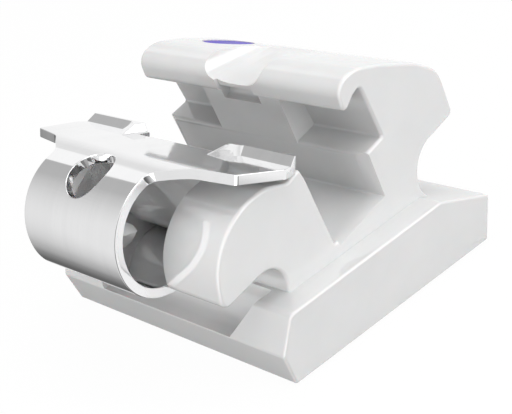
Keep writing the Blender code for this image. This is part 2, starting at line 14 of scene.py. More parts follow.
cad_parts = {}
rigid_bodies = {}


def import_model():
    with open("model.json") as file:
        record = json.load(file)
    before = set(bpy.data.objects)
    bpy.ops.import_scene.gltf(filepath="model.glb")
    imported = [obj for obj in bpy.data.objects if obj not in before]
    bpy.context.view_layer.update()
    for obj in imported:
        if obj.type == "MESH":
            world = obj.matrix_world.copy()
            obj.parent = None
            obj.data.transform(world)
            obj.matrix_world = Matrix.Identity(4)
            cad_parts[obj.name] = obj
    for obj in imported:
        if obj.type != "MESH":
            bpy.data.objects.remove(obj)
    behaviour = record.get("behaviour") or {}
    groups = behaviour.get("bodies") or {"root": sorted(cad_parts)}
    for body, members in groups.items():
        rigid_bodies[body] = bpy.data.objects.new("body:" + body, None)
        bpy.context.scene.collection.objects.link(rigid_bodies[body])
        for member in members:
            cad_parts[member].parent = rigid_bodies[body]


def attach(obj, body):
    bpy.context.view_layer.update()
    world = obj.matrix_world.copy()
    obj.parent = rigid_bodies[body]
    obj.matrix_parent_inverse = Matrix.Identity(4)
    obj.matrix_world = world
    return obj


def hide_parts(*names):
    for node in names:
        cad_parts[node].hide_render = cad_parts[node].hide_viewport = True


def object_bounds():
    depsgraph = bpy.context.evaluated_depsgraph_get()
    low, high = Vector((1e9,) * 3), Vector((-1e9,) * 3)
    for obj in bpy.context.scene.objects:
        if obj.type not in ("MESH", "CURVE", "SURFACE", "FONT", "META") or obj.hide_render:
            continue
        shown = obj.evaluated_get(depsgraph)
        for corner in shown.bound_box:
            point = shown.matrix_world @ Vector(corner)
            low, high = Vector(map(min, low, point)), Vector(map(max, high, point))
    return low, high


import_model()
cad_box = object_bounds()
print("CAD box in mm:", [[round(value * 1000, 3) for value in corner] for corner in cad_box])

# %% [markdown]
# The camera goes where the photographer's was. It stands a centimetre away, which is a
# few times the bracket's length, so the lens is long. Its clip start has to be tiny too,
# or Blender would cut the near corner off.

# %% Camera
camera_data = bpy.data.cameras.new("camera")
camera = bpy.data.objects.new("camera", camera_data)
bpy.context.scene.collection.objects.link(camera)
camera_data.sensor_width = 36.0
camera_data.lens = 81.4
camera_data.clip_start = 0.0001
camera_data.clip_end = 1.0
camera_turn = Matrix((
    (0.6955, -0.1855, 0.6942),
    (0.6939, 0.4244, -0.5817),
    (-0.1867, 0.8863, 0.4239),
)).to_quaternion()
camera.rotation_mode = "QUATERNION"
camera.rotation_quaternion = camera_turn
camera.location = (0.006515, -0.005582, 0.004624)
bpy.context.scene.camera = camera
print("camera to origin in mm:", round(camera.location.length * 1000, 2))

# %% [markdown]
# Small helpers come next. Every operator acts on what is selected, so each helper first
# selects only its own piece. The pieces are modelled with one unit to a millimetre,
# because Blender's tools are happier with sizes near one, and they are brought to metres
# when they are finished.

# %% Helpers for selecting and finishing
def select_only(piece):
    bpy.ops.object.select_all(action="DESELECT")
    piece.select_set(True)
    bpy.context.view_layer.objects.active = piece


def edit(piece):
    select_only(piece)
    bpy.ops.object.mode_set(mode="EDIT")
    bpy.ops.mesh.select_all(action="DESELECT")


def leave():
    bpy.ops.object.mode_set(mode="OBJECT")


def pick(piece, kind, rule):
    """In edit mode, selects only the faces, edges or vertices that keep a rule."""
    bpy.ops.mesh.select_all(action="DESELECT")
    bpy.ops.mesh.select_mode(type={"faces": "FACE", "edges": "EDGE", "verts": "VERT"}[kind])
    mesh = bmesh.from_edit_mesh(piece.data)
    chosen = [item for item in getattr(mesh, kind) if rule(item)]
    for item in chosen:
        item.select_set(True)
    mesh.select_flush_mode()
    bmesh.update_edit_mesh(piece.data)


def face_outwards():
    """In edit mode, turns every face of the piece outwards."""
    bpy.ops.mesh.select_all(action="SELECT")
    bpy.ops.mesh.normals_make_consistent(inside=False)


def apply_modifiers(piece):
    select_only(piece)
    for modifier in list(piece.modifiers):
        bpy.ops.object.modifier_apply(modifier=modifier.name)


def boolean(piece, other, operation):
    modifier = piece.modifiers.new(operation, "BOOLEAN")
    modifier.operation = operation
    modifier.solver = "EXACT"
    modifier.object = other
    apply_modifiers(piece)
    bpy.data.objects.remove(other)


def to_metres(piece):
    """Brings a finished piece from millimetres to metres, in its mesh."""
    piece.data.transform(piece.matrix_world)
    piece.matrix_world = Matrix.Identity(4)
    piece.data.transform(Matrix.Scale(0.001, 4))
    piece.data.update()
    print(piece.name, len(piece.data.polygons), "faces")


# %% [markdown]
# Most forms of the bracket are one side view pushed along the slot. A modeller traces
# such a view by extruding one vertex from corner to corner, and fills it. A vertex bevel
# rounds each corner, and the face is extruded. The rounded ends are a few insets that
# each rise a little, so that together they follow a quarter circle.

# %% Helpers for side views pushed along X
ARC_STEP = math.radians(5.0)


def trace(name, corners):
    """One flat face, traced from point to point."""
    bpy.ops.object.select_all(action="DESELECT")
    bpy.ops.mesh.primitive_plane_add(size=0.1)
    piece = bpy.context.object
    piece.name = name
    bpy.ops.object.mode_set(mode="EDIT")
    bpy.ops.mesh.select_mode(type="VERT")
    bpy.ops.mesh.select_all(action="SELECT")
    bpy.ops.mesh.merge(type="CENTER")
    bpy.ops.transform.translate(value=corners[0])
    for here, following in zip(corners[:-1], corners[1:]):
        step = Vector(following) - Vector(here)
        bpy.ops.mesh.extrude_region_move(TRANSFORM_OT_translate={"value": step})
    bpy.ops.mesh.select_all(action="SELECT")
    bpy.ops.mesh.edge_face_add()
    return piece


def round_corner(piece, before, here, after, radius):
    """In edit mode, rounds one corner of a flat face."""
    spot = Vector(here)
    corner_angle = (Vector(before) - spot).angle(Vector(after) - spot)
    steps = max(2, round((math.pi - corner_angle) / ARC_STEP))
    pick(piece, "verts", lambda vertex: (vertex.co - spot).length < 1e-5)
    reach = radius / math.tan(corner_angle / 2.0)
    bpy.ops.mesh.bevel(offset=reach, segments=steps, affect="VERTICES", clamp_overlap=False)


def round_corners(piece, points, radii):
    """In edit mode, rounds those corners of a flat face that have a radius."""
    for index, radius in enumerate(radii):
        if radius > 0.0:
            before, after = points[index - 1], points[(index + 1) % len(points)]
            round_corner(piece, before, points[index], after, radius)


def thicken(step):
    """In edit mode, extrudes a flat face into a solid."""
    bpy.ops.mesh.select_all(action="SELECT")
    bpy.ops.mesh.extrude_region_move(TRANSFORM_OT_translate={"value": step})
    face_outwards()


def round_end(piece, side, radius, steps):
    """In edit mode, rounds the edge of one end with insets that follow a quarter circle."""
    pick(piece, "faces", lambda face: face.normal.x * side > 0.999 and len(face.verts) > 5)
    turns = [math.pi / 2.0 * step / steps for step in range(steps + 1)]
    for turn, following in zip(turns[:-1], turns[1:]):
        narrower = radius * (math.cos(turn) - math.cos(following))
        higher = radius * (math.sin(following) - math.sin(turn))
        bpy.ops.mesh.inset(thickness=narrower, depth=higher)


def side_view(name, corners, x_low, x_high, end_round=0.0, round_steps=4):
    """A solid from the corners (y, z, radius) of its side view."""
    start = x_low + end_round
    points = [(start, y, z) for y, z, _ in corners]
    piece = trace(name, points)
    round_corners(piece, points, [radius for _, _, radius in corners])
    thicken((x_high - x_low - 2.0 * end_round, 0.0, 0.0))
    if end_round > 0.0:
        for side in (-1.0, 1.0):
            round_end(piece, side, end_round, round_steps)
    leave()
    return piece


print("each step of a rounded corner turns", round(math.degrees(ARC_STEP), 1), "degrees")

# %% [markdown]
# The slot is tilted by its torque angle, so its own frame is tilted too. The clip slides
# along another line, ten degrees the other way. Two small functions turn a point of each
# frame into a point of the part.

# %% The slot's frame and the clip's frame
TORQUE = math.radians(15.0)
CLIP_ANGLE = math.radians(-10.0)
ROLL_Y, ROLL_Z = -1.41, 1.18


def slot_point(along, up):
    cos, sin = math.cos(TORQUE), math.sin(TORQUE)
    return (0.15 + along * cos - up * sin, 0.85 + along * sin + up * cos)


def clip_point(along, outward):
    cos, sin = math.cos(CLIP_ANGLE), math.sin(CLIP_ANGLE)
    return (ROLL_Y + along * cos - outward * sin, ROLL_Z + along * sin + outward * cos)


print("slot floor's middle:", [round(value, 3) for value in slot_point(-0.28, 0.0)])

# %% [markdown]
# The bonding base is glued to the tooth. Its front edge slopes up to a rim, and its back
# falls away. One outline gives its side view, and then the sides lean outwards a little,
# as a moulded part's do.

# %% The bonding base
BASE_HALF_LENGTH = 1.165
BASE_HALF_WIDTH = 1.285
BASE_FLARE = 0.045
BASE_END_ROUND = 0.022
RIM_FRONT, RIM_BACK = 0.57, 0.625


def base_piece():
    widest = BASE_HALF_WIDTH + BASE_FLARE
    base = side_view("base", [
        (-BASE_HALF_LENGTH, 0.0, 0.03),
        (BASE_HALF_LENGTH, 0.0, 0.02),
        (BASE_HALF_LENGTH + 0.045, 0.40, 0.035),
        (BASE_HALF_LENGTH - 0.575, RIM_BACK, 0.06),
        (-BASE_HALF_LENGTH + 0.04, RIM_FRONT, 0.06),
        (-BASE_HALF_LENGTH - 0.085, 0.28, 0.045),
    ], -widest, widest, BASE_END_ROUND)
    for vertex in base.data.vertices:
        rise = vertex.co.z / RIM_BACK
        vertex.co.x *= (BASE_HALF_WIDTH + BASE_FLARE * rise) / widest
    return base


base = base_piece()
print("base:", len(base.data.polygons), "faces")

# %% [markdown]
# A wide channel crosses the front of the base, so that a wire tie can pass under the tie
# wings. Its floor is flat, its back is round and its sides slope. It is cut with a shape
# that grows wider as it rises.

# %% The channel under the tie wings
def channel_cutter():
    front, back, floor, top = -1.6, -0.948, 0.28, 0.85
    half_width, spread = 0.75, 0.76
    cutter = side_view("channel", [
        (front, floor, 0.0),
        (back, floor, 0.20),
        (back, top, 0.0),
        (front, top, 0.0),
    ], -1.0, 1.0)
    for vertex in cutter.data.vertices:
        rise = vertex.co.z - floor
        vertex.co.x *= half_width + spread * rise
    return cutter


boolean(base, channel_cutter(), "DIFFERENCE")
print("base with its channel:", len(base.data.polygons), "faces")

# %% [markdown]
# The underside is glued on, so it carries straight grooves that the glue grips. Each is a
# little wider inside than at its mouth. They come in pairs, one on each side of the middle.

# %% The retention grooves
GROOVE_PITCH = 0.34
GROOVE_PAIRS = 3
GROOVE_HALF_LENGTH = 1.145


def groove_cutter(middle):
    mouth, inside, depth, below = 0.07, 0.0875, 0.07, -0.2
    return side_view("groove", [
        (middle - mouth, below, 0.0),
        (middle + mouth, below, 0.0),
        (middle + mouth, 0.0, 0.0),
        (middle + inside, depth, 0.0),
        (middle - inside, depth, 0.0),
        (middle - mouth, 0.0, 0.0),
    ], -GROOVE_HALF_LENGTH, GROOVE_HALF_LENGTH)


for side in (-1.0, 1.0):
    for pair in range(GROOVE_PAIRS):
        boolean(base, groove_cutter(side * (pair + 0.5) * GROOVE_PITCH), "DIFFERENCE")
print("base with its grooves:", len(base.data.polygons), "faces")

# %% [markdown]
# The body above the base is one long side view: the gum-side tie wing with its round
# nose, the slot, the pocket under the hooked wing, the wing's back slope and the neck.
# Reading the list of corners from the first line down walks once round that view.

# %% The body's side view
BODY_HALF_WIDTH = 1.12
BODY_END_ROUND, END_ROUND_STEPS = 0.028, 5
NECK_FRONT, NECK_BACK, NECK_FOOT = -0.918, 0.615, 0.42
WING_FRONT = -1.53
SHELF = 0.378


def body_corners():
    back_tip = slot_point(1.012, 0.008)
    neck_top = back_tip[1] - (back_tip[0] - NECK_BACK) * math.tan(TORQUE)
    return [
        (NECK_FRONT, NECK_FOOT, 0.0),
        (NECK_BACK, NECK_FOOT, 0.0),
        (0.865, 0.5212, 0.0),
        (NECK_BACK, 0.6119, 0.20),
        (NECK_BACK, neck_top, 0.25),
        (*back_tip, 0.055),
        (*slot_point(1.012, 0.435), 0.26),
        (*slot_point(0.80, 0.65), 0.70),
        (*slot_point(0.44, 0.89), 0.90),
        (*slot_point(0.20, 1.022), 0.28),
        (*slot_point(-0.007, 1.01), 0.12),
        (*slot_point(-0.035, 0.765), 0.045),
        (*slot_point(0.115, 0.845), 0.032),
        (*slot_point(0.20, 0.865), 0.032),
        (*slot_point(0.23, SHELF), 0.02),
        (*slot_point(0.0, SHELF), 0.034),
        (*slot_point(0.0, 0.0), 0.02),
        (*slot_point(-0.56, 0.0), 0.02),
        (*slot_point(-0.57, 0.62), 0.20),
        (-0.611, 1.417, 0.038),
        (-0.735, 1.358, 0.07),
        (-0.95, 1.42, 0.30),
        (WING_FRONT, 1.335, 0.52),
        (WING_FRONT, 0.745, 0.072),
        (NECK_FRONT, 0.885, 0.19),
    ]


body = side_view("ceramic_body", body_corners(), -BODY_HALF_WIDTH, BODY_HALF_WIDTH,
                 BODY_END_ROUND, END_ROUND_STEPS)
print("body:", len(body.data.polygons), "faces")

# %% [markdown]
# The pillar stands between the two pockets, and carries the load of the hooked wing. The
# pillar, the wings and the base are moulded as one, so Booleans join them.

# %% The pillar, and the body on its base
PILLAR_HALF_WIDTH = 0.43
PILLAR_FRONT, PILLAR_BACK = 0.006, 0.33
PILLAR_FOOT, PILLAR_HEAD = 0.305, 0.865
pillar = side_view("pillar", [
    (*slot_point(PILLAR_FRONT, PILLAR_FOOT), 0.0),
    (*slot_point(PILLAR_BACK, PILLAR_FOOT), 0.0),
    (*slot_point(PILLAR_BACK, PILLAR_HEAD), 0.0),
    (*slot_point(PILLAR_FRONT, PILLAR_HEAD), 0.0),
], -PILLAR_HALF_WIDTH, PILLAR_HALF_WIDTH)
boolean(body, pillar, "UNION")
boolean(body, base, "UNION")
print("body on base:", len(body.data.polygons), "faces")

# %% [markdown]
# The clip needs room: a gap between the two tie wings, a round core that the sheet is
# rolled round, and a channel under the slot for its tongue. One outline cuts all three,
# and it is the clip's own shape plus a small clearance.

# %% The clip's room
CLIP_TRAVEL = 0.81
ROLL_RADIUS, SHEET = 0.46, 0.075
ROLL_HALF_WIDTH = 0.54
CLEARANCE, SIDE_CLEARANCE = 0.015, 0.018


def clip_room_cutter():
    inner, outer = ROLL_RADIUS - SHEET - CLEARANCE, ROLL_RADIUS + CLEARANCE
    front, back, gap_back = CLIP_TRAVEL - 1.3, CLIP_TRAVEL + 1.21, 0.75
    above = 4.0 * inner
    half_width = ROLL_HALF_WIDTH + SIDE_CLEARANCE
    corners = [
        (*clip_point(front, -outer), 0.0),
        (*clip_point(back, -outer), 0.0),
        (*clip_point(back, -inner), 0.0),
    ]
    steps = 36
    for step in range(steps + 1):
        turn = math.pi * step / steps
        spot = clip_point(CLIP_TRAVEL - inner * math.sin(turn), -inner * math.cos(turn))
        corners.append((*spot, 0.0))
    corners.append((*clip_point(gap_back, inner), 0.0))
    corners.append((*clip_point(gap_back, above), 0.0))
    corners.append((*clip_point(front, above), 0.0))
    return side_view("clip_room", corners, -half_width, half_width)


boolean(body, clip_room_cutter(), "DIFFERENCE")
print("body with the clip's room:", len(body.data.polygons), "faces")

# %% [markdown]
# Between the hooks a smooth trough runs front to back, like a saddle. A cylinder cuts it,
# after its round is pressed outwards a little, because the trough has a flatter floor and
# steeper sides than a circle.

# %% The saddle
SADDLE_HALF_WIDTH, SADDLE_DEPTH, SADDLE_LEVEL = 0.33, 0.26, 1.95
SADDLE_ROUNDNESS = 0.72


def pressed_out(place, half):
    """Moves a coordinate outwards, most where it is halfway to the edge."""
    share = place / half
    return half * math.copysign(abs(share) ** SADDLE_ROUNDNESS, share)


bpy.ops.object.select_all(action="DESELECT")
bpy.ops.mesh.primitive_cylinder_add(
    vertices=64, radius=SADDLE_HALF_WIDTH, depth=2.2, rotation=(math.pi / 2.0, 0.0, 0.0))
saddle = bpy.context.object
bpy.ops.object.transform_apply(location=False, rotation=True, scale=False)
bpy.ops.transform.resize(value=(1.0, 1.0, SADDLE_DEPTH / SADDLE_HALF_WIDTH))
bpy.ops.transform.translate(value=(0.0, 0.6, SADDLE_LEVEL))
bpy.ops.object.transform_apply(location=True, rotation=False, scale=True)
for vertex in saddle.data.vertices:
    vertex.co.x = pressed_out(vertex.co.x, SADDLE_HALF_WIDTH)
    vertex.co.z = SADDLE_LEVEL + pressed_out(vertex.co.z - SADDLE_LEVEL, SADDLE_DEPTH)
boolean(body, saddle, "DIFFERENCE")
print("body with saddle:", len(body.data.polygons), "faces")

# %% [markdown]
# A notch opens the hooked lip in the middle, where a probe reaches the clip. Its back is a
# round recess under the saddle's front edge, so it is one more side view pushed along X.

# %% The notch
NOTCH_HALF_WIDTH = 0.208
NOTCH_FLOOR, NOTCH_ROOF, NOTCH_TOP = 0.712, 0.838, 1.30
NOTCH_FRONT, NOTCH_WALL, NOTCH_RECESS = -0.30, 0.010, 0.092
NOTCH_ROUND = 0.058
notch = side_view("notch", [
    (*slot_point(NOTCH_FRONT, NOTCH_FLOOR), 0.0),
    (*slot_point(NOTCH_RECESS, NOTCH_FLOOR), NOTCH_ROUND),
    (*slot_point(NOTCH_RECESS, NOTCH_ROOF), NOTCH_ROUND),
    (*slot_point(NOTCH_WALL, NOTCH_ROOF), 0.0),
    (*slot_point(NOTCH_WALL, NOTCH_TOP), 0.0),
    (*slot_point(NOTCH_FRONT, NOTCH_TOP), 0.0),
], -NOTCH_HALF_WIDTH, NOTCH_HALF_WIDTH)
boolean(body, notch, "DIFFERENCE")
print("body with notch:", len(body.data.polygons), "faces")

# %% [markdown]
# Each end of the slot has a lead-in chamfer, so that the wire slips in easily. A cube is
# moved so that it widens outwards, and it shaves the floor and the wing's wall at once.

# %% Lead-in chamfers of the slot
CHAMFER_INSIDE, CHAMFER_OUTSIDE = 1.01, 1.32
CHAMFER_FALL = 0.1268
CHAMFER_FRONT, CHAMFER_TOP = -0.53, 0.6
ABOVE_FLOOR = 0.002


def slot_end_cutter(side):
    bpy.ops.object.select_all(action="DESELECT")
    bpy.ops.mesh.primitive_cube_add(size=2.0)
    piece = bpy.context.object
    for vertex in piece.data.vertices:
        outside = vertex.co.x > 0.0
        fall = CHAMFER_FALL if outside else -ABOVE_FLOOR
        along = fall if vertex.co.y > 0.0 else CHAMFER_FRONT
        up = CHAMFER_TOP if vertex.co.z > 0.0 else -fall
        y, z = slot_point(along, up)
        vertex.co = (side * (CHAMFER_OUTSIDE if outside else CHAMFER_INSIDE), y, z)
    edit(piece)
    face_outwards()
    leave()
    return piece


for side in (-1.0, 1.0):
    boolean(body, slot_end_cutter(side), "DIFFERENCE")
print("body with chamfers:", len(body.data.polygons), "faces")

# %% [markdown]
# A shallow dimple on one wing takes the paint dot that tells the left bracket from the
# right one. A plain cylinder, stood square on the wing's back slope, sinks it.

# %% The dimple
DOT_RADIUS, DIMPLE_RADIUS = 0.219, 0.223
DOT_X, DOT_DOWN_SLOPE = -0.69, 0.20
DIMPLE_DEPTH, DRILL_LENGTH = 0.02, 0.22


def dot_frame():
    """The dot's own frame, which lies flat on the wing's back slope."""
    front = Vector(slot_point(0.44, 0.89))
    back = Vector(slot_point(0.80, 0.65))
    slope = (back - front).normalized()
    spot = front + slope * DOT_DOWN_SLOPE
    turn = Matrix(((1, 0, 0), (0, slope.x, slope.y), (0, -slope.y, slope.x))).transposed()
    return Matrix.Translation((DOT_X, spot.x, spot.y)) @ turn.to_4x4()


bpy.ops.object.select_all(action="DESELECT")
bpy.ops.mesh.primitive_cylinder_add(vertices=64, radius=DIMPLE_RADIUS, depth=DRILL_LENGTH)
dimple = bpy.context.object
drill_middle = DRILL_LENGTH / 2.0 - DIMPLE_DEPTH
dimple.data.transform(dot_frame() @ Matrix.Translation((0.0, 0.0, drill_middle)))
boolean(body, dimple, "DIFFERENCE")
print("body with all cuts:", len(body.data.polygons), "faces")

# %% [markdown]
# A moulded and polished ceramic has no razor edges. The body's outer edges already got
# their rounds with the side views, so here it is only cleaned: doubled vertices merge, and
# the needless edges that the cuts left in flat faces dissolve. The helper below breaks
# edges with a bevel modifier that is applied at once, and the small metal and paint pieces
# use it. A weighted normal modifier keeps the large faces flat to the eye.

# %% Clean the body and finish it
SMOOTH_ANGLE = 35.0


def break_edges(piece, width, segments, angle):
    bevel = piece.modifiers.new("broken_edges", "BEVEL")
    bevel.width = width
    bevel.segments = segments
    bevel.limit_method = "ANGLE"
    bevel.angle_limit = math.radians(angle)
    bevel.use_clamp_overlap = False
    apply_modifiers(piece)


def smooth(piece, angle):
    """Smooth shading, in which the large faces keep their own direction."""
    select_only(piece)
    bpy.ops.object.shade_smooth_by_angle(angle=math.radians(angle))
    weighted = piece.modifiers.new("weighted_normals", "WEIGHTED_NORMAL")
    weighted.keep_sharp = True
    apply_modifiers(piece)


edit(body)
bpy.ops.mesh.select_all(action="SELECT")
bpy.ops.mesh.remove_doubles(threshold=0.001)
bpy.ops.mesh.dissolve_limited(angle_limit=math.radians(0.5))
leave()
smooth(body, SMOOTH_ANGLE)
to_metres(body)
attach(body, "bracket")
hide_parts("bracket_body")

# %% [markdown]
# The dot is a drop of paint that has dried flat in its dimple, so it is a thin disc with
# a soft rim.

# %% The paint dot
DOT_THICKNESS, DOT_GAP = 0.012, 0.0005
bpy.ops.object.select_all(action="DESELECT")
bpy.ops.mesh.primitive_cylinder_add(vertices=64, radius=DOT_RADIUS, depth=DOT_THICKNESS)
dot = bpy.context.object
dot.name = "violet_dot"
break_edges(dot, width=0.004, segments=3, angle=40.0)
dot_middle = DOT_THICKNESS / 2.0 + DOT_GAP - DIMPLE_DEPTH
dot.data.transform(dot_frame() @ Matrix.Translation((0.0, 0.0, dot_middle)))
smooth(dot, SMOOTH_ANGLE)
to_metres(dot)
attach(dot, "bracket")
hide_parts("id_mark")

# %% [markdown]
# The spring clip is stamped flat and then rolled, and it is modelled in that order. The
# blank lies flat first: x runs across it and y along it, with y = 0 where the arm starts
# to bend. Flat, its edges bevel cleanly, and the tool hole is a plain cut. Only one half
# of the outline is listed, from the gap between the lips to the tip of the tongue.

# %% The clip's flat blank
ARM_ANGLE = math.radians(-17.0)
ARM_START = Vector((-1.2062, 1.6325))
ROLL_BENDS = ((0.53, 35.3), (0.5055, 87.1), (0.3835, 64.6))
TONGUE, TONGUE_TAPER = 1.22, 0.22
bent_length = sum(radius * math.radians(turn) for radius, turn in ROLL_BENDS)
tongue_tip = -bent_length - TONGUE
HALF_BLANK = [
    (0.437, 0.465, 0.0),
    (0.455, 0.595, 0.02),
    (1.125, 0.603, 0.03),
    (1.20, 0.42, 0.06),
    (1.135, 0.02, 0.035),
    (0.80, -0.055, 0.20),
    (ROLL_HALF_WIDTH, -0.25, 0.10),
    (ROLL_HALF_WIDTH, tongue_tip + TONGUE_TAPER, 0.0),
    (ROLL_HALF_WIDTH - TONGUE_TAPER, tongue_tip, 0.0),
]


def blank_piece(top, depth):
    other_half = [(-x, y, radius) for x, y, radius in reversed(HALF_BLANK)]
    corners = HALF_BLANK + other_half
    points = [(x, y, top) for x, y, _ in corners]
    blank = trace("spring_clip_sheet", points)
    round_corners(blank, points, [radius for _, _, radius in corners])
    thicken((0.0, 0.0, -depth))
    leave()
    return blank


print("sheet in the three bends of the roll:", round(bent_length, 3), "mm")

# %% [markdown]
# Two raised lips stiffen the leading edge, and a fingertip or a tool pushes on them. The
# blank starts as thick as the lips are high, and a slab with two hollows in it skims the
# rest down. So the lips end exactly at the blank's own outline. Each hollow slopes at its
# front and reaches further back at its inner end. The hole lets a probe pull the clip open.

# %% Lips and tool hole of the blank
RISE = 0.064
LIP_FOOT = [
    (0.49, 0.35), (0.49, 0.70), (1.35, 0.70),
    (1.35, 0.503), (0.67, 0.503), (0.62, 0.41),
]
LIP_CREST = [
    (0.525, 0.49), (0.525, 0.70), (1.35, 0.70),
    (1.35, 0.562), (0.64, 0.562), (0.59, 0.525),
]
HOLE_HALF_WIDTH, HOLE_HALF_LENGTH, HOLE_Y = 0.185, 0.22, -0.36


def ridge(side, foot, crest):
    """A ridge traced below its foot, extruded past its crest, and narrowed on the way."""
    slopes = [(x, y, top_x - x, top_y - y) for (x, y), (top_x, top_y) in zip(foot, crest)]
    low, high = -0.3, 1.3
    start = [(side * (x + low * in_x), y + low * in_y, low * RISE)
             for x, y, in_x, in_y in slopes]
    piece = trace("ridge", start)
    rise = (high - low) * RISE
    bpy.ops.mesh.extrude_region_move(TRANSFORM_OT_translate={"value": (0.0, 0.0, rise)})
    mesh = bmesh.from_edit_mesh(piece.data)
    for (start_x, start_y, _), (x, y, in_x, in_y) in zip(start, slopes):
        for vertex in mesh.verts:
            above = abs(vertex.co.x - start_x) + abs(vertex.co.y - start_y) < 1e-4
            if vertex.co.z > 0.0 and above:
                vertex.co.x, vertex.co.y = side * (x + high * in_x), y + high * in_y
                break
    bmesh.update_edit_mesh(piece.data)
    face_outwards()
    leave()
    return piece


def skim_piece():
    """A slab that skims the blank down to its sheet, with hollows for the lips."""
    bpy.ops.object.select_all(action="DESELECT")
    bpy.ops.mesh.primitive_cube_add(size=1.0)
    skim = bpy.context.object
    width, length, height = 3.0, 5.0, 0.2
    bpy.ops.transform.resize(value=(width, length, height))
    bpy.ops.transform.translate(value=(0.0, -1.5, height / 2.0))
    bpy.ops.object.transform_apply(location=True, rotation=False, scale=True)
    for side in (-1.0, 1.0):
        boolean(skim, ridge(side, LIP_FOOT, LIP_CREST), "DIFFERENCE")
    return skim


def hole_piece():
    bpy.ops.object.select_all(action="DESELECT")
    bpy.ops.mesh.primitive_cylinder_add(vertices=72, radius=1.0, depth=0.4)
    hole = bpy.context.object
    hole.name = "tool_hole"
    bpy.ops.transform.resize(value=(HOLE_HALF_WIDTH, HOLE_HALF_LENGTH, 1.0))
    bpy.ops.transform.translate(value=(0.0, HOLE_Y, 0.0))
    bpy.ops.object.transform_apply(location=True, rotation=False, scale=True)
    return hole


clip = blank_piece(RISE, RISE + SHEET)
boolean(clip, skim_piece(), "DIFFERENCE")
boolean(clip, hole_piece(), "DIFFERENCE")
print("flat blank:", len(clip.data.polygons), "faces")

# %% [markdown]
# The stamped edges are broken by a small bevel. Then the blank is bisected into narrow
# strips where it will bend, and every vertex is carried round the roll. The arm, the
# three bends and the tongue follow each other without a kink.

# %% Bevel, bisect and roll the blank
STRIP_DEGREES = 3.0


def rolled(place):
    """Where a point of the flat blank comes to lie when the blank is rolled."""
    x, along, rise = place
    spot = ARM_START.copy()
    turn = math.pi / 2.0 + ARM_ANGLE
    remaining = -along
    for radius, degrees in ROLL_BENDS:
        if remaining <= 0.0:
            break
        bend = min(remaining / radius, math.radians(degrees))
        centre = spot - radius * Vector((math.cos(turn), math.sin(turn)))
        turn += bend
        spot = centre + radius * Vector((math.cos(turn), math.sin(turn)))
        remaining -= radius * math.radians(degrees)
    outward = Vector((math.cos(turn), math.sin(turn)))
    forward = Vector((outward.y, -outward.x))
    if along > 0.0:
        spot = spot + forward * along
    if remaining > 0.0:
        spot = spot - forward * remaining
    spot = spot + outward * rise
    return Vector((x, spot.x, spot.y))


break_edges(clip, width=0.008, segments=2, angle=50.0)
edit(clip)
strips = round(sum(turn for _, turn in ROLL_BENDS) / STRIP_DEGREES)
for strip in range(strips + 1):
    bpy.ops.mesh.select_all(action="SELECT")
    place = (0.0, -bent_length * strip / strips, 0.0)
    bpy.ops.mesh.bisect(plane_co=place, plane_no=(0.0, 1.0, 0.0))
leave()
for vertex in clip.data.vertices:
    vertex.co = rolled(vertex.co)
smooth(clip, SMOOTH_ANGLE)
to_metres(clip)
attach(clip, "clip")
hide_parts("spring_clip")

# %% [markdown]
# The floor, the studio and the finishes are all small node trees, and they need the same
# few nodes: a ramp that turns a number into a grey or a colour, a sum or a product, and a
# fine noise that stands for the grain of paper, ceramic and metal.

# %% Helpers for materials
def add_node(tree, kind, **values):
    node = tree.nodes.new(kind)
    for name, value in values.items():
        setattr(node, name, value)
    return node


def ramp(tree, factor, stops):
    """A grey or coloured ramp; each stop is a position and a colour or a level."""
    node = add_node(tree, "ShaderNodeValToRGB")
    elements = node.color_ramp.elements
    while len(elements) < len(stops):
        elements.new(0.5)
    for element, (position, value) in zip(elements, stops):
        element.position = position
        level = (value, value, value) if isinstance(value, float) else value
        element.color = (*level, 1.0)
    tree.links.new(factor, node.inputs["Fac"])
    return node.outputs["Color"]


def combined(tree, operation, first, second):
    node = add_node(tree, "ShaderNodeMath", operation=operation)
    for socket, value in zip(node.inputs, (first, second)):
        if isinstance(value, float):
            socket.default_value = value
        else:
            tree.links.new(value, socket)
    return node.outputs[0]


def grain(tree, scale, detail, stretch=(1.0, 1.0, 1.0)):
    """Noise in the piece's own coordinates, finer where it isn't stretched."""
    coordinates = add_node(tree, "ShaderNodeTexCoord")
    mapping = add_node(tree, "ShaderNodeMapping")
    mapping.inputs["Scale"].default_value = stretch
    noise = add_node(tree, "ShaderNodeTexNoise")
    noise.inputs["Scale"].default_value = scale
    noise.inputs["Detail"].default_value = detail
    tree.links.new(coordinates.outputs["Object"], mapping.inputs["Vector"])
    tree.links.new(mapping.outputs["Vector"], noise.inputs["Vector"])
    return noise.outputs["Fac"]


# %% [markdown]
# The floor is a plane of pale paper. Nearly all of what the camera sees of it is its own
# white light, so it melts into the background and keeps only a faint shadow. The light
# that it throws back at the bracket comes from a darker paper. Mirrors don't see it,
# because the world gives them a table instead.

# %% Floor
FLOOR_GAP = 0.00001
GLOWING_SHARE = 0.97
bpy.ops.object.select_all(action="DESELECT")
bpy.ops.mesh.primitive_plane_add(size=0.4, location=(0.0, 0.0, cad_box[0].z - FLOOR_GAP))
floor = bpy.context.object
floor.name = "floor"
floor_material = bpy.data.materials.new("floor")
floor_material.use_nodes = True
tree = floor_material.node_tree
floor_shader = tree.nodes["Principled BSDF"]
path = add_node(tree, "ShaderNodeLightPath")
fibres = grain(tree, 900.0, 4.0)
paper = add_node(tree, "ShaderNodeMix", data_type="RGBA")
tree.links.new(path.outputs["Is Camera Ray"], paper.inputs[0])
tree.links.new(ramp(tree, fibres, ((0.3, 0.34), (0.7, 0.36))), paper.inputs[6])
tree.links.new(ramp(tree, fibres, ((0.3, 0.78), (0.7, 0.80))), paper.inputs[7])
tree.links.new(paper.outputs[2], floor_shader.inputs["Base Color"])
floor_shader.inputs["Roughness"].default_value = 0.9
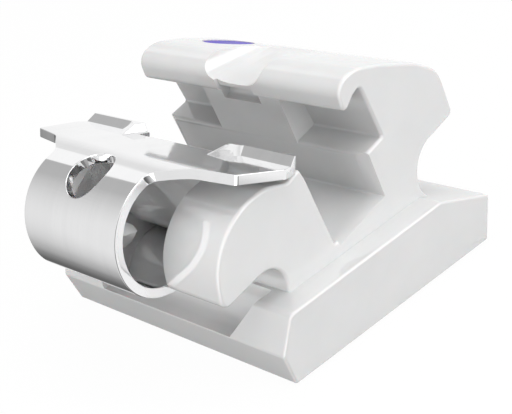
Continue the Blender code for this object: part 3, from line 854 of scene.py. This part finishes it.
glow = add_node(tree, "ShaderNodeEmission")
mix = add_node(tree, "ShaderNodeMixShader")
share = combined(tree, "MULTIPLY", path.outputs["Is Camera Ray"], GLOWING_SHARE)
tree.links.new(share, mix.inputs["Fac"])
tree.links.new(floor_shader.outputs[0], mix.inputs[1])
tree.links.new(glow.outputs[0], mix.inputs[2])
tree.links.new(mix.outputs[0], tree.nodes["Material Output"].inputs["Surface"])
floor.data.materials.append(floor_material)
floor.visible_glossy = False
print("floor at", round(floor.location.z * 1000, 3), "mm")

# %% [markdown]
# Polished metal shows nothing but its surroundings, so the world is a small photo studio.
# Two grey ramps run from the photographer's side to the back. The upper one is a ceiling
# that grows darker to the back, up to the sharp edge of a white panel. The lower one is a
# table with a painted shadow of the part on it, darkest straight under the part.

# %% The colours of the studio
CEILING = (
    (0.0, 0.86), (0.20, 0.83), (0.27, 0.72), (0.315, 0.645), (0.365, 0.58), (0.42, 0.49),
    (0.553, 0.47), (0.558, 1.0), (0.68, 1.0), (0.70, 0.80), (0.74, 0.80), (0.80, 0.97),
)
# The dark stops in the middle of the table are the part's painted shadow, seen in mirrors.
TABLE = (
    (0.20, 0.83), (0.235, 0.745), (0.27, 0.665), (0.33, 0.49), (0.365, 0.42),
    (0.415, 0.27), (0.50, 0.17), (0.55, 0.13), (0.62, 0.13), (0.68, 0.95),
)
world = bpy.data.worlds.new("studio")
bpy.context.scene.world = world
world.use_nodes = True
tree = world.node_tree
parts = add_node(tree, "ShaderNodeSeparateXYZ")
tree.links.new(add_node(tree, "ShaderNodeTexCoord").outputs["Generated"], parts.inputs[0])
away = combined(tree, "MULTIPLY", parts.outputs["Y"], 0.5)
away = combined(tree, "ADD", away, 0.5)
height = combined(tree, "ADD", parts.outputs["Z"], 0.5)
halves = add_node(tree, "ShaderNodeMix", data_type="RGBA")
tree.links.new(ramp(tree, height, ((0.40, 0.0), (0.54, 1.0))), halves.inputs[0])
tree.links.new(ramp(tree, away, TABLE), halves.inputs[6])
tree.links.new(ramp(tree, away, CEILING), halves.inputs[7])
studio = tree.nodes["Background"]
tree.links.new(halves.outputs[2], studio.inputs["Color"])
print("greys of the studio:", len(CEILING), "in the ceiling,", len(TABLE), "in the table")

# %% [markdown]
# The studio's strength isn't the same for every ray. For scattered light it is about half,
# because the lamps give most of that. It is raised in a bright zone at the near side, which
# only mirrors see and which draws thin bright edges. The camera itself looks at plain white.

# %% The strength of the studio
SCATTER_LOSS = -0.48
GLINT = 1.7
path = add_node(tree, "ShaderNodeLightPath")
beside = ramp(tree, parts.outputs["X"], ((0.36, 0.0), (0.44, 1.0)))
slant = combined(tree, "MULTIPLY", parts.outputs["Y"], 0.6)
slanted = combined(tree, "SUBTRACT", parts.outputs["Z"], slant)
in_front = ramp(tree, combined(tree, "ADD", slanted, 0.5), ((0.27, 0.0), (0.35, 1.0)))
glint = combined(tree, "MULTIPLY", beside, in_front)
glint = combined(tree, "MULTIPLY", glint, path.outputs["Is Glossy Ray"])
glint = combined(tree, "MULTIPLY", glint, GLINT)
strength = combined(tree, "MULTIPLY", path.outputs["Is Diffuse Ray"], SCATTER_LOSS)
strength = combined(tree, "ADD", strength, glint)
strength = combined(tree, "ADD", strength, 1.0)
tree.links.new(strength, studio.inputs["Strength"])
white = add_node(tree, "ShaderNodeBackground")
white.inputs["Color"].default_value = (1.0, 1.0, 1.0, 1.0)
to_camera = add_node(tree, "ShaderNodeMixShader")
tree.links.new(path.outputs["Is Camera Ray"], to_camera.inputs["Fac"])
tree.links.new(studio.outputs[0], to_camera.inputs[1])
tree.links.new(white.outputs[0], to_camera.inputs[2])
tree.links.new(to_camera.outputs[0], tree.nodes["World Output"].inputs["Surface"])
print("the studio's strength is 1.0, or", round(1.0 + SCATTER_LOSS, 2), "for scattered light")

# %% [markdown]
# Three soft lamps shape the ceramic: a large one above, one on the slot's near end, and a
# low card that lights the fronts of the hooks. The clip shades the walls behind it from
# the card, so they stay grey. Mirrors don't see the lamps, only the studio.

# %% Lamps
def soft_lamp(name, place, width, height, radiance):
    data = bpy.data.lights.new(name, "AREA")
    data.shape = "RECTANGLE"
    data.size = width
    data.size_y = height
    data.energy = radiance * math.pi * width * height
    lamp = bpy.data.objects.new(name, data)
    bpy.context.scene.collection.objects.link(lamp)
    lamp.location = place
    lamp.rotation_mode = "QUATERNION"
    lamp.rotation_quaternion = (-Vector(place)).to_track_quat("-Z", "Y")
    lamp.visible_glossy = False
    print(name, "gives", round(data.energy * 1000, 2), "mW")


soft_lamp("top_lamp", (0.002, 0.002, 0.0235), width=0.018, height=0.018, radiance=4.5)
soft_lamp("side_lamp", (0.024, 0.003, 0.007), width=0.018, height=0.018, radiance=4.5)
soft_lamp("front_card", (0.0, -0.014, 0.0015), width=0.016, height=0.003, radiance=7.4)
bpy.context.scene.view_settings.view_transform = "Standard"

# %% [markdown]
# Glazed ceramic is white all through. It lets a little light in, which softens its
# shadows. Its glaze bends light strongly, so it mirrors the studio more than glass would.
# The grain of the ceramic shows as very faint clouds in its colour and in its gloss.

# %% Ceramic
def finish_material(name, roughness, metallic):
    material = bpy.data.materials.new(name)
    material.use_nodes = True
    tree = material.node_tree
    shader = tree.nodes["Principled BSDF"]
    shader.inputs["Metallic"].default_value = metallic
    low, high = roughness
    gloss = ramp(tree, grain(tree, 6000.0, 5.0), ((0.3, low), (0.7, high)))
    tree.links.new(gloss, shader.inputs["Roughness"])
    return material, tree, shader


def clothe(piece, material):
    piece.data.materials.clear()
    piece.data.materials.append(material)


ceramic, tree, shader = finish_material("glazed_ceramic", (0.03, 0.07), 0.0)
clouds = grain(tree, 2500.0, 6.0)
tone = ramp(tree, clouds, ((0.3, (0.575, 0.578, 0.58)), (0.7, (0.605, 0.605, 0.605))))
tree.links.new(tone, shader.inputs["Base Color"])
shader.inputs["IOR"].default_value = 2.0
shader.inputs["Subsurface Weight"].default_value = 0.10
shader.inputs["Subsurface Scale"].default_value = 0.00008
clothe(body, ceramic)

# %% [markdown]
# Polished spring alloy is a mirror with a faint haze. The strip was rolled lengthwise,
# so its finest lines run that way, and they only show as a slight change of tone.

# %% Spring alloy
alloy, tree, shader = finish_material("polished_spring_alloy", (0.05, 0.09), 1.0)
lines = grain(tree, 9000.0, 4.0, (1.0, 0.06, 0.06))
tint = ramp(tree, lines, ((0.3, (0.90, 0.90, 0.905)), (0.7, (0.94, 0.94, 0.945))))
tree.links.new(tint, shader.inputs["Base Color"])
clothe(clip, alloy)

# %% [markdown]
# The paint is a matt lacquer full of pigment. The fine noise makes it a little uneven, as
# a dab from a small stamp dries.

# %% Violet paint
paint, tree, shader = finish_material("violet_paint", (0.35, 0.5), 0.0)
pigment = grain(tree, 12000.0, 3.0)
violet = ramp(tree, pigment, ((0.3, (0.05, 0.03, 0.32)), (0.7, (0.08, 0.05, 0.42))))
tree.links.new(violet, shader.inputs["Base Color"])
shader.inputs["Specular IOR Level"].default_value = 0.2
clothe(dot, paint)
print("materials:", [material.name for material in (ceramic, alloy, paint)])
